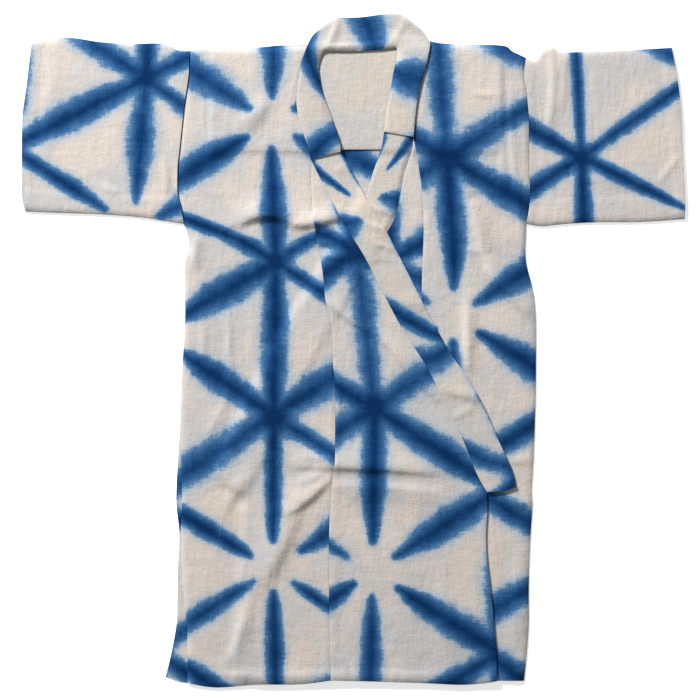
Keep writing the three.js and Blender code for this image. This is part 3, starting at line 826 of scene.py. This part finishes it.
# ---- Shells ----
def shell(name, outer, inner, dye, is_tube=False):
    """A closed mesh between two nets of points. Its rows join up round a tube."""
    rows, columns = outer.shape[:2]
    last_row, last_column = rows - 1, columns - 1

    def at(row, column, layer):
        return (layer * rows + row % rows) * columns + column

    faces = []
    for r in range(rows if is_tube else last_row):
        for c in range(last_column):
            faces.append((at(r, c, 0), at(r + 1, c, 0), at(r + 1, c + 1, 0), at(r, c + 1, 0)))
            faces.append((at(r, c, 1), at(r, c + 1, 1), at(r + 1, c + 1, 1), at(r + 1, c, 1)))
        faces.append((at(r, 0, 0), at(r, 0, 1), at(r + 1, 0, 1), at(r + 1, 0, 0)))
        c = last_column
        faces.append((at(r, c, 0), at(r + 1, c, 0), at(r + 1, c, 1), at(r, c, 1)))
    if not is_tube:
        for c in range(last_column):
            faces.append((at(0, c, 0), at(0, c + 1, 0), at(0, c + 1, 1), at(0, c, 1)))
            r = last_row
            faces.append((at(r, c, 0), at(r, c, 1), at(r, c + 1, 1), at(r, c + 1, 0)))
    points = np.vstack([outer.reshape(-1, 3), inner.reshape(-1, 3)]) * MM
    mesh = bpy.data.meshes.new(name)
    mesh.from_pydata(points.tolist(), [], faces)
    mesh.polygons.foreach_set("use_smooth", [True] * len(mesh.polygons))
    values = np.concatenate([dye.ravel(), dye.ravel()])
    mesh.attributes.new("dye", "FLOAT", "POINT").data.foreach_set("value", values)
    piece = bpy.data.objects.new(name, mesh)
    bpy.context.collection.objects.link(piece)
    node_name = name.replace("_cloth", "")
    piece.data.materials.append(MATERIALS[SLOTS[node_name]])
    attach(piece, "root")
    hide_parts(node_name)
    return piece


def area_of(points):
    x, y = points[:, 0], points[:, 1]
    return abs(np.dot(x, np.roll(y, -1)) - np.dot(y, np.roll(x, -1))) / 2


def declare(name, held, layers=1):
    """Work out the cut of what shows: a strip by its length and width, any other panel by its box and area.
    The sizes are not kept or passed on.

    A sleeve is a tube of two layers, and its cut goes round it from the fold at its top.
    """
    points = outline(name)
    area = area_of(points)
    if held == "folded":
        length = length_of(EDGES[name][2])
        flat, area = (length, area / length), None
    else:
        width, height = points.max(axis=0) - points.min(axis=0)
        flat, area = (width, height * layers), area * layers
    tuple(float(side) * MM for side in flat)


def come_down(x, y, top, run, low, width):
    """Heights that roll down to a low one along a run of points, over about a width."""
    away, _, _ = run_distance(x, y, run)
    return low + (top - low) * (1 - np.exp(-(away + ROLL_START) / width))


def panel(name, step=STEP, thick=SHELL, lift=0.0, turned=(), low=ROLL_LOW, width=ROLL, seam=None,
          held="laid"):
    """A panel laid on the net of heights. It rolls down to a low height along its turned edges.

    A thick one comes down to a single cloth along its seam.
    """
    net = patch(*EDGES[name], step)
    x, y = net[..., 0], net[..., 1]
    room = BAND if thick > SHELL else CLOTH
    base = height_at(name, x, y)
    rim, _, _ = run_distance(x, y, outline(name)[::3])
    top = base + room + lift - RIM_DROP * np.exp(-((rim / RIM_WIDTH) ** 2))
    for run in turned:
        top = come_down(x, y, top, run[::3], low, width)
    if seam is not None:
        away, _, _ = run_distance(x, y, seam[::3])
        top = top - (room - CLOTH) * np.exp(-((away / SEAM_WIDTH) ** 2))
    bottom = np.maximum(top - thick, np.minimum(base + CLEAR, top - THINNEST))
    piece = shell(name + "_cloth", np.dstack([x, y, top]), np.dstack([x, y, bottom]), dye_of(name, x, y))
    declare(name, held)
    return piece


def sleeve(name):
    """A flat tube: its front from the sewn bottom up to the fold, then its back down again."""
    net = patch(*EDGES[name], STEP)[::-1]
    x, y = net[..., 0], net[..., 1]
    front = height_at(name, x, y) + CLOTH
    for run in EDGES[name][:2]:
        front = come_down(x, y, front, run[::2], 2 * SHELL + CLEAR, ROLL)
    rear = np.full(x.shape, REAR_CLEAR)
    outer = np.vstack([np.dstack([x, y, front]), np.dstack([x, y, rear])[::-1]])
    to_middle = np.mean(y, axis=0) - y
    tucked = y + np.sign(to_middle) * np.where(np.abs(to_middle) > TUCK_FROM, TUCK, 0)
    inner = np.vstack([np.dstack([x, tucked, front - SHELL]), np.dstack([x, tucked, rear + SHELL])[::-1]])
    dye = dye_of(name, x, y)
    piece = shell(name + "_cloth", outer, inner, np.vstack([dye, dye[::-1]]), is_tube=True)
    declare(name, "laid", layers=2)


neck_of_left = curve(over_inner[CENTRE_BACK:NECK_LAST + 1])
neck_of_right = curve(over_inner[NECK_FIRST:CENTRE_BACK + 1])
back = panel("back", COARSE_STEP, lift=SHELL - CLOTH)
lining = panel("yoke_lining", LINING_STEP, lift=SHELL - CLOTH)
front_left = panel("front_left", turned=(EDGES["front_left"][3], EDGES["front_left"][0]))
okumi_left = panel("okumi_left", HALF_HIDDEN_STEP)
collar_left = panel(
    "collar_left", thick=BAND_SHELL, seam=EDGES["collar_left"][3], held="folded",
    turned=[neck_of_left], low=NECK_LOW, width=NECK_ROLL)
panel("front_right", turned=(EDGES["front_right"][2], EDGES["front_right"][0]))
panel("okumi_right")
collar_right = panel(
    "collar_right", thick=BAND_SHELL, seam=EDGES["collar_right"][2], held="folded",
    turned=[neck_of_right], low=NECK_LOW, width=NECK_ROLL)
panel(
    "over_collar", FINE_STEP, held="folded",
    turned=(neck_of_left, neck_of_right), low=NECK_LOW + SHELL + CLEAR, width=NECK_ROLL)
sleeve("sleeve_right")
sleeve("sleeve_left")

# ---- Floor, light and camera, in metres ----
FLOOR_HALF = 12.0
FLOOR_DROP = 0.0002  # just under the cloth
CORNERS = ((-1, -1), (1, -1), (1, 1), (-1, 1))
floor_corners = [(x * FLOOR_HALF, y * FLOOR_HALF, -FLOOR_DROP) for x, y in CORNERS]
floor_mesh = bpy.data.meshes.new("floor")
floor_mesh.from_pydata(floor_corners, [], [(0, 1, 2, 3)])
floor = bpy.data.objects.new("floor", floor_mesh)
bpy.context.collection.objects.link(floor)
paper = bpy.data.materials.new("floor")
paper.use_nodes = True
white = paper.node_tree.nodes["Principled BSDF"].inputs
white["Base Color"].default_value = (0.98, 0.98, 0.98, 1)
white["Roughness"].default_value = 0.9
white["Specular IOR Level"].default_value = 0.1
white["Emission Color"].default_value = (1, 1, 1, 1)
white["Emission Strength"].default_value = 0.5  # so bright a ground takes only pale shadows
floor_mesh.materials.append(paper)


def lamp(name, place, size, power):
    """A square lamp that faces the origin."""
    data = bpy.data.lights.new(name, "AREA")
    data.size = size
    data.energy = power
    made = bpy.data.objects.new(name, data)
    bpy.context.collection.objects.link(made)
    made.location = place
    made.rotation_euler = (-Vector(place)).to_track_quat("-Z", "Y").to_euler()


lamp("key", (-1.9, 3.3, 1.7), size=0.7, power=386)
lamp("fill", (0.3, -0.4, 3.2), size=3.0, power=12)
world = bpy.data.worlds.new("studio")
bpy.context.scene.world = world
world.use_nodes = True
world.node_tree.nodes["Background"].inputs["Color"].default_value = (1, 1, 1, 1)
world.node_tree.nodes["Background"].inputs["Strength"].default_value = 0.19

VIEW_WIDTH = 0.735  # of the surface, across the picture
VIEW_CENTRE = (-0.0037, 0.0007)
CAMERA_HEIGHT = 3.2
camera_data = bpy.data.cameras.new("camera")
camera = bpy.data.objects.new("camera", camera_data)
bpy.context.collection.objects.link(camera)
camera.location = (*VIEW_CENTRE, CAMERA_HEIGHT)
camera_data.lens = camera_data.sensor_width * CAMERA_HEIGHT / VIEW_WIDTH
camera_data.clip_end = 20
scene = bpy.context.scene
scene.camera = camera
scene.view_settings.view_transform = "Standard"
scene.view_settings.look = "None"
